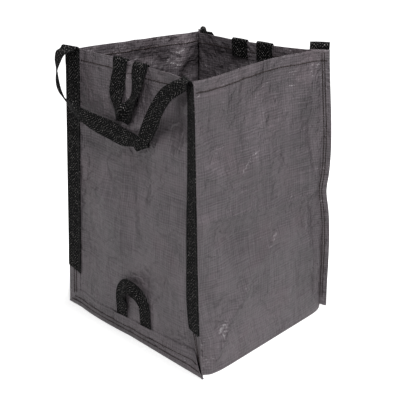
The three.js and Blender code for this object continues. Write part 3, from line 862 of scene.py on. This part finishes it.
class BAG_OT_wrap(bpy.types.Operator):
    """Makes the one length of cloth that is the left side, the base and the right side"""

    bl_idname = "bag.wrap"
    bl_label = "Wrap panel"

    def execute(self, context):
        turns = HEM_FOLD / 2 * (1 - np.cos(np.radians([45, 90, 135])))
        parts, foot = [], {}
        for face in ("right", "left"):
            rows = with_hem(lambda t: side_rows(face, t)[0], np.linspace(0, 1, 143), turns)
            foot[face] = rows[0, side_rows(face, np.array([0.0]))[1]]
            parts.append(grid(face, rows))
        parts.append(grid("base", base_rows(foot["right"], foot["left"][::-1])))
        for face in ("front", "rear"):
            parts.append(grid(face + " margin", margin_rows(face)))
        piece = thickened(joined("wrap_cloth", parts), context.scene.bag_sizes.cloth, merge=0.00002)
        placed(piece, "wrap_panel", "woven cloth")
        return {"FINISHED"}


def base_rows(right, left):
    """The base's cloth, whose edges meet the feet of the four faces, a little wavy between them."""
    shares = np.linspace(0, 1, 72)
    front = base_edge("front", left[0], right[0], shares)
    rear = base_edge("rear", left[-1], right[-1], shares)
    v = np.linspace(0, 1, len(right))[:, None, None]
    u = shares[None, :, None]
    patch = (1 - u) * left[:, None] + u * right[:, None] + (1 - v) * front[None] + v * rear[None]
    patch = patch - (1 - v) * ((1 - u) * left[0] + u * right[0]) - v * ((1 - u) * left[-1] + u * right[-1])
    lift = (np.sin(math.pi * u) * np.sin(math.pi * v))[..., 0] ** 0.5
    patch[..., 2] = 1 + lift * (0.8 + 0.5 * waves(patch[..., 0], patch[..., 1], 7, 60, 160, 6)) * 0.8
    return patch


def base_edge(face, start, end, shares):
    """The base's front or rear edge: along the margin's foot, with its ends at the side panels."""
    rows = margin_line(face, 1.0)
    if face == "rear":
        rows = rows[::-1]
    long = run_along(rows)
    line = np.stack([np.interp(shares, long / long[-1], rows[:, k]) for k in range(3)], 1)
    keep = smoothstep(0, 0.1, np.minimum(shares, 1 - shares)[:, None])
    line = (start + (end - start) * shares[:, None]) * (1 - keep) + line * keep
    line[0], line[-1] = start, end
    return line


def margin_rows(face):
    """The base's margin, folded up over a panel's foot and mitred at its ends."""
    shares = np.concatenate([[0, 0.05, 0.16], np.linspace(0.3, 1, 9)])
    top = mitre(ground_row(face))
    rows = [margin_line(face, 1.0 + share * (top - 1.0)) for share in shares]
    tucked, level = 6.0, 0.6
    under = rows[0] + inner_side(rows[0][None])[0] * tucked
    under[:, 2] = level
    return np.array([under] + rows)


def margin_rise():
    return bpy.context.scene.bag_sizes.base_margin * TO_MM


def mitre(row):
    """Height of the base margin at each point of a row, falling almost to nothing at its ends."""
    least, run = 3, 44
    return np.minimum(margin_rise(), least + (margin_rise() - least) * np.clip(from_ends(row) / run, 0, 1))


def margin_line(face, z):
    """The base margin at one height for each point: its foot runs straight from corner to corner."""
    flat = ground_row(face)
    z = z + np.zeros(len(flat))
    low = foot_points(face, z / HEIGHT, margin_off(face, flat, z))
    long = run_along(flat)
    chord = flat[:1] + (flat[-1:] - flat[:1]) * (long / long[-1])[:, None]
    keep = (1 - smoothstep(0, margin_rise(), z))[:, None]
    mixed = low[:, :2] * (1 - keep) + chord[:, :2] * keep
    side = -1 if face == "front" else 1
    outer = (side * mixed[:, 1] > side * low[:, 1])[:, None]
    return np.column_stack([np.where(outer, mixed, low[:, :2]), low[:, 2]])


def ground_row(face):
    """A front or rear panel's lowest row, reaching almost to the seams' folded edges."""
    return panel_rows(face, np.array([0.0]), MARGIN_INSET)[0]


def foot_points(face, t, off):
    """Points low on a front or rear panel, one height for each column, off its face."""
    heights = np.linspace(0, 0.09, 14)
    low = panel_rows(face, heights, MARGIN_INSET)
    i = np.clip(np.searchsorted(heights, t, side="right") - 1, 0, len(heights) - 2)
    k = ((t - heights[i]) / (heights[i + 1] - heights[i]))[:, None]
    c = np.arange(low.shape[1])
    row = low[i, c] * (1 - k) + low[i + 1, c] * k
    return row - inner_side(row[None])[0] * off[:, None]


def from_ends(row):
    """Distance of each point of a row from the nearer end of the row."""
    long = run_along(row)
    return np.minimum(long, long[-1] - long)


def margin_off(face, row, z):
    """How far the base margin stands off the panel: more over the side flanges and loop ends."""
    off = 1.2 + 1.4 * (1 - smoothstep(46, 56, from_ends(row)))
    if face == "front":
        for middle in BASE_LOOP_ENDS:
            near = 1 - smoothstep(21, 32, np.abs(row[:, 0] - middle))
            off = off + 2.2 * near * smoothstep(8, 24, z)
    return off


class BAG_OT_panels(bpy.types.Operator):
    """Makes the front and rear panels, each with its hem folded inside the rim"""

    bl_idname = "bag.panels"
    bl_label = "Front and rear panels"

    def execute(self, context):
        for face in ("front", "rear"):
            rows = with_hem(lambda t: panel_rows(face, t), np.linspace(0.004, 1, 160), (0.15, 0.55, 0.95))
            piece = thickened(grid(face + "_cloth", rows), context.scene.bag_sizes.cloth)
            placed(piece, face + "_panel", "woven cloth")
        return {"FINISHED"}


def strap_points(name, t, insets, off):
    """Points of a strap's middle layer at these heights, from its outer edge in, and its corner."""
    c = Corner(name, t)
    q = np.repeat(np.asarray(insets, float)[None], len(t), 0)
    flat = c.at(q, np.zeros(q.shape) + off)
    return np.concatenate([flat, np.repeat(c.z[:, None, None], len(insets), 1)], 2), c


def strap_off(t):
    """How far a strap's middle layer stands off the middle of its seam."""
    half_cloth, clearance, half_webbing = 0.35, 0.3, 0.95
    return gap(t) + half_cloth + clearance + half_webbing


def over_rim(foot, out, rise, bend, turns):
    """Points folded outwards over the rim: up from their foot by the rise, then round by these
    degrees."""
    return [
        foot + out * bend * (1 - math.cos(turn)) + np.array([0, 0, rise + bend * math.sin(turn)])
        for turn in np.radians(turns)
    ]


def crown_of(name):
    """The middle of a strap's rim end, the line across it and its outward direction."""
    at = np.array([1.0])
    points, c = strap_points(name, at, np.linspace(1, 50, 9), 0)
    out = np.append(c.out[0], 0)
    return points[0, 4] + out * strap_off(at)[0], np.append(c.inward[0], 0), out


def hinge_span(a, b, drop):
    """The middle between two crowns, and a point the drop below it, square to the line between them."""
    way = unit(b - a)
    down = unit(way * way[2] - np.array([0, 0, 1.0]))
    middle = (a + b) / 2
    return Vector(middle * MM), Vector((middle + down * drop) * MM)


class BAG_OT_straps(bpy.types.Operator):
    """Makes the four corner straps, from the foot of the bag to above the rim"""

    bl_idname = "bag.straps"
    bl_label = "Corner straps"

    def execute(self, context):
        columns, trim, bulge = 11, 0.6, 0.35
        insets = np.linspace(trim, STRAP_SPAN - trim, columns)
        foot = context.scene.bag_sizes.strap_foot * TO_MM / HEIGHT
        t = np.linspace(foot, 1, 90)
        off = strap_off(t)[:, None] + bulge * (1 - np.linspace(-1, 1, columns)[None] ** 2)
        for name in CORNERS:
            rows, c = strap_points(name, t, insets, off)
            slant = np.linspace(8, -6, columns) if HAND[name] < 0 else np.linspace(7, 5, columns)
            rows[..., 2] += (1 - smoothstep(0, 0.12, t - foot))[:, None] * slant[None]
            top, rise = rows[-1], RISES[name]
            bend = [top + [0, 0, rise * 0.5], top + [0, 0, rise]]
            bend += over_rim(top, np.append(c.out[-1], 0), rise, BEND, [20, 40, 60, 80, 90])
            piece = webbing_sheet(name + "_webbing", np.concatenate([rows, np.array(bend)], 0))
            placed(piece, name + "_strap", "webbing weave")
        return {"FINISHED"}


def handle_line(face):
    """A long handle's stations in mm, from one crown over and round to the other."""
    reach, face_y, stand_by, clear, crown_z, drop = 215.5, -220, 45, 8, 721, 198
    widest, dip = 222, 14
    ends = []
    for name, order, turns in zip(FACES[face], (1, -1), ([90, 112, 135, 158], [150, 132, 112, 90])):
        foot, across, out = crown_of(name)
        middles = over_rim(foot, out, RISES[name], BEND, turns)
        ends.append([np.concatenate([middle, across * order]) for middle in middles])
    free = []
    for across, stand, up, rx, rs, rz in HANDLE_ROUTE:
        y = face_y - (stand * stand_by + clear)
        point = np.array([across * reach, y, crown_z + up * drop, rx, -rs, rz])
        # The rear handle is the front one mirrored front to back, fitted to its own crowns
        if face == "rear":
            point[0] = np.clip(point[0], -widest, widest)
            point[2] -= dip * math.exp(-((across + 1.1) ** 2) / 0.02)
            point[[1, 3, 5]] *= -1
        free.append(point)
    if face == "rear":
        free.reverse()
    return np.array(ends[0] + free + ends[1])


class BAG_OT_handles(bpy.types.Operator):
    """Makes the two long handles, hanging outside the rim"""

    bl_idname = "bag.handles"
    bl_label = "Long handles"

    def execute(self, context):
        for face in ("front", "rear"):
            piece = ribbon(face + "_handle_webbing", finer(handle_line(face), 150), LOOP_SPAN, 0.6)
            node = face + "_handle"
            placed(piece, node, "webbing weave", body=None)
            crowns = []
            for name in FACES[face]:
                foot, _, out = crown_of(name)
                crowns.append(foot + out * BEND + [0, 0, RISES[name] + BEND])
            start, end = hinge_span(*crowns, 12)
            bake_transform(piece)
        return {"FINISHED"}


def on_panel(face, t, places, inward=0.0):
    """The y and z of a front or rear panel, or of a layer so far inward of it, at a share of the
    height and at places along X."""
    rows = panel_rows(face, np.array([t]))
    row = rows[0] + inner_side(rows)[0] * inward
    row = row[np.argsort(row[:, 0])]
    return np.interp(places, row[:, 0], row[:, 1]), np.interp(places, row[:, 0], row[:, 2])


def short_loop_line(face, flip, crowns):
    """A short loop's stations in mm, from one crown over and round to the other."""
    stand_by, clear, drop = 30, 5, 134
    out = np.array([0, -flip, 0])
    ends = []
    for crown, order in zip(crowns, (1, -1)):
        middles = over_rim(crown, out, LOOP_RISE, LOOP_BEND, [90, 112, 135, 158])[::order]
        ends.append([np.append(middle, [flip * order, 0, 0]) for middle in middles])
    (x0, y0, z0), (x1, y1, z1) = crowns
    free = []
    for across, stand, up, rx, rs, rz in SHORT_ROUTE:
        share = (across + 1) / 2
        x = (x0 + x1) / 2 + flip * across * SHORT_LOOPS[face][1]
        y = y0 + (y1 - y0) * share - flip * (stand * stand_by + clear)
        z = z0 + (z1 - z0) * share + up * drop
        free.append([x, y, z, flip * rx, -flip * rs, rz])
    return np.concatenate([ends[0], free, ends[1]])


def short_loop_end(face, flip, crown):
    """A short loop's sewn end: up the inside of the panel, then over the rim to the crown."""
    sewn, inside = 44, 2.9
    across = np.linspace(-LOOP_SPAN / 2, LOOP_SPAN / 2, 9)
    x, _, z = crown
    points = []
    for up in np.linspace(-sewn, 0, 12):
        y = on_panel(face, 1 + up / HEIGHT, x + across, inside)[0]
        points.append(np.column_stack([x + across, y, np.full(len(across), z + up)]))
    out = np.array([0, -flip, 0])
    return np.array(points + over_rim(points[-1], out, LOOP_RISE, LOOP_BEND, [0, 20, 40, 60, 80, 90]))


class BAG_OT_short_loops(bpy.types.Operator):
    """Makes the two short loops over the rim and their sewn ends inside it"""

    bl_idname = "bag.short_loops"
    bl_label = "Short loops"

    def execute(self, context):
        inside, crown_up = 3.1, 4.8
        for face, flip in (("front", 1), ("rear", -1)):
            middle, half = SHORT_LOOPS[face]
            crowns = []
            for side in (-1, 1):
                x = flip * (middle + side * half)
                y, z = on_panel(face, 1.0, x)
                crowns.append(np.array([x, y + flip * inside, z]))
            line = finer(short_loop_line(face, flip, crowns), 96)
            piece = ribbon(face + "_loop_webbing", line, LOOP_SPAN, 0.8)
            node = face + "_short_loop"
            placed(piece, node, "webbing weave", body=None)
            a, b = (crown + [0, -flip * LOOP_BEND, crown_up] for crown in crowns)
            start, end = hinge_span(a, b, 9)
            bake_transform(piece)
            for side, crown in zip(("left", "right"), crowns):
                end_piece = webbing_sheet(f"{face}_loop_{side}_end", short_loop_end(face, flip, crown))
                placed(end_piece, f"{face}_loop_{side}_tab", "webbing weave")
        return {"FINISHED"}


class BAG_OT_base_loop(bpy.types.Operator):
    """Makes the loop low on the front, with its ends under the base margin"""

    bl_idname = "bag.base_loop"
    bl_label = "Base loop"

    def execute(self, context):
        top, off, stand_by, lowest, rise = 50, 1.7, 24, 52.3, 112
        x0, x1 = BASE_LOOP_ENDS
        y0, y1 = (on_panel("front", top / HEIGHT, x)[0] - off for x in BASE_LOOP_ENDS)
        table = [[x0, y0, top, 1, 0, 0]]
        for across, stand, up, rx, rs, rz in BASE_ROUTE:
            x = (x0 + x1) / 2 + across * (x1 - x0) / 2
            y = y0 + (y1 - y0) * (across + 1) / 2 - stand * stand_by
            table.append([x, y, lowest + up * rise, rx, -rs, rz])
        table.append([x1, y1, top, -1, 0, 0])
        piece = ribbon("base_loop_webbing", finer(table, 70), BASE_LOOP_SPAN, 0.8, columns=7)
        placed(piece, "base_loop", "webbing weave", body=None)
        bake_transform(piece)
        across = np.linspace(-BASE_LOOP_SPAN / 2, BASE_LOOP_SPAN / 2, 7)
        for side, x in zip(("left", "right"), BASE_LOOP_ENDS):
            points = []
            for z in np.linspace(26, top, 8):
                y = on_panel("front", z / HEIGHT, x + across)[0] - off
                points.append(np.column_stack([x + across, y, np.full(len(across), z)]))
            end_piece = webbing_sheet(f"base_loop_{side}_end", np.array(points))
            placed(end_piece, f"base_loop_{side}_tail", "webbing weave")
        return {"FINISHED"}


def seam_rows(name, foot, rim):
    """Two rows through a corner's fin: up the side panel's layer, and below the strap's foot also
    on the flange."""
    depth = 31
    rows = []
    for inset in (21, depth):
        for t, side in ((np.linspace(0.03, rim, 110), -1), (np.linspace(0.045, foot + 0.02, 16), 1)):
            c = Corner(name, t)
            place = inset * (c.width / depth) - (1.0 if side < 0 else 0)
            flat = c.at(place[:, None], (side * gap(t))[:, None])[:, 0]
            rows.append((np.column_stack([flat, c.z]), np.column_stack([c.out * side, np.zeros(len(t))])))
    return rows


def strap_rows(name, foot, rim):
    """A strap's frame of stitches: one row up each edge and one across each end."""
    near, far = 4, 47
    rows = []
    t = np.linspace(foot + 5 / HEIGHT, rim, 100)
    for inset in (near, far):
        points, c = strap_points(name, t, [inset], strap_off(t)[:, None])
        rows.append((points[:, 0], np.column_stack([c.out, np.zeros(len(t))])))
    for place in (t[0], t[-1]):
        at = np.array([place])
        points, c = strap_points(name, at, np.linspace(near, far, 9), strap_off(at)[:, None])
        rows.append((points[0], np.repeat(np.append(c.out[0], 0)[None], 9, 0)))
    return rows


def hem_rows(face, t):
    """One row through a face's hem, on its outside and its inside."""
    if face in ("front", "rear"):
        line, shown = panel_rows(face, t), slice(8, -8)
    else:
        line, free = side_rows(face, t)
        shown = slice(free.start - 4, free.stop + 4)
    inward = inner_side(line)
    layers = ((-1, 0.0), (1, HEM_FOLD))
    return [((line + inward * off)[0][shown], (inward * side)[0][shown]) for side, off in layers]


def base_margin_rows(face):
    """Two rows along a base margin, as far as its mitred ends let them run."""
    rows = []
    top = mitre(ground_row(face))
    for z in (13, 25):
        line = margin_line(face, float(z))
        keep = top > z + 2
        rows.append((line[keep], (-inner_side(line[None])[0])[keep]))
    return rows


class BAG_OT_stitching(bpy.types.Operator):
    """Sews the corner seams, the straps, the hem and the base margins"""

    bl_idname = "bag.stitching"
    bl_label = "Stitching"

    def execute(self, context):
        sizes = context.scene.bag_sizes
        row_below_rim = 6
        on_cloth = sizes.cloth * TO_MM / 2 + sizes.thread * TO_MM * 0.12
        on_webbing = sizes.webbing * TO_MM / 2 + 0.4
        rim = 1 - row_below_rim / HEIGHT
        foot = sizes.strap_foot * TO_MM / HEIGHT
        hem = np.array([1 - sizes.hem_row * TO_MM / HEIGHT])
        for name in CORNERS:
            piece = stitches(name + "_seam_stitches", seam_rows(name, foot, rim), on_cloth)
            placed(piece, name + "_seam_rows", "seam thread")
            piece = stitches(name + "_strap_stitches", strap_rows(name, foot, rim), on_webbing)
            placed(piece, name + "_strap_rows", "strap thread")
        for face in FACES:
            piece = stitches(face + "_hem_stitches", hem_rows(face, hem), on_cloth)
            placed(piece, face + "_hem_row", "seam thread")
        for face in ("front", "rear"):
            piece = stitches(face + "_base_stitches", base_margin_rows(face), on_cloth)
            placed(piece, face + "_base_rows", "seam thread")
        return {"FINISHED"}


class BAG_OT_stage(bpy.types.Operator):
    """Makes the floor, the lamps, the surroundings and the camera"""

    bl_idname = "bag.stage"
    bl_label = "Stage"

    def execute(self, context):
        scene = context.scene
        scene.view_settings.view_transform = "Standard"
        deselect()
        bpy.ops.mesh.primitive_plane_add(size=12, location=(0, 0, -0.0002))
        floor = bpy.context.object
        floor.name = "floor"
        bpy.ops.object.transform_apply(location=True, rotation=True, scale=True)
        floor.data.materials.append(floor_finish(tuple(scene.bag_colours.floor)))
        surround(scene)
        for name, (place, size, power) in LAMPS.items():
            deselect()
            bpy.ops.object.light_add(type="AREA", location=place)
            lamp = bpy.context.object
            lamp.name = name
            lamp.data.shape, lamp.data.size, lamp.data.energy = "SQUARE", size, power
            aim(lamp, Vector(LAMP_AIM) - Vector(place))
        around, up = CAMERA_AROUND, CAMERA_UP
        back = Vector((math.sin(around) * math.cos(up), -math.cos(around) * math.cos(up), math.sin(up)))
        data = bpy.data.cameras.new("camera")
        data.lens, data.sensor_width = LENS, SENSOR
        camera = bpy.data.objects.new("camera", data)
        scene.collection.objects.link(camera)
        target = Vector((CAMERA_ASIDE * math.cos(around), CAMERA_ASIDE * math.sin(around), CAMERA_AIM))
        camera.location = target + back * CAMERA_AWAY
        aim(camera, -back)
        scene.camera = camera
        return {"FINISHED"}


def aim(thing, way):
    """Turns a lamp or the camera so that it looks this way."""
    thing.rotation_mode = "QUATERNION"
    thing.rotation_quaternion = way.to_track_quat("-Z", "Y")


def surround(scene):
    """Surroundings that are white to the camera and through clear things, and dim as light."""
    dim = 0.22
    world = scene.world or bpy.data.worlds.new("surroundings")
    scene.world = world
    world.use_nodes = True
    tree = world.node_tree
    back = next(n for n in tree.nodes if n.type == "BACKGROUND")
    path = tree.nodes.new("ShaderNodeLightPath")
    seen = Value(tree, path.outputs["Is Camera Ray"])
    seen = seen.math("MAXIMUM", seen, Value(tree, path.outputs["Is Transmission Ray"]))
    back.inputs[0].default_value = (1, 1, 1, 1)
    tree.links.new((seen * (1 - dim) + dim).socket, back.inputs[1])


class BAG_PT_panel(bpy.types.Panel):
    """Sizes, colours and the steps that build the bag"""

    bl_idname = "BAG_PT_panel"
    bl_label = "Garden waste bag"
    bl_space_type = "VIEW_3D"
    bl_region_type = "UI"
    bl_category = "Waste Bag"

    def draw(self, context):
        layout = self.layout
        for group in (context.scene.bag_sizes, context.scene.bag_colours):
            box = layout.box()
            for name in group.bl_rna.properties.keys():
                if name not in ("rna_type", "name"):
                    box.prop(group, name)
        for step in STEPS:
            layout.operator(step.bl_idname)


# The operators in the order in which they build the bag
STEPS = (
    BAG_OT_panels,
    BAG_OT_wrap,
    BAG_OT_straps,
    BAG_OT_handles,
    BAG_OT_short_loops,
    BAG_OT_base_loop,
    BAG_OT_stitching,
    BAG_OT_stage,
)
CLASSES = (BagSizes, BagColours, *STEPS, BAG_PT_panel)


def register():
    for each in CLASSES:
        bpy.utils.register_class(each)
    bpy.types.Scene.bag_sizes = bpy.props.PointerProperty(type=BagSizes)
    bpy.types.Scene.bag_colours = bpy.props.PointerProperty(type=BagColours)


def unregister():
    del bpy.types.Scene.bag_colours
    del bpy.types.Scene.bag_sizes
    for each in reversed(CLASSES):
        bpy.utils.unregister_class(each)


def main():
    register()
    for step in STEPS:
        getattr(bpy.ops.bag, step.bl_idname.split(".")[1])()


if __name__ == "__main__":
    main()
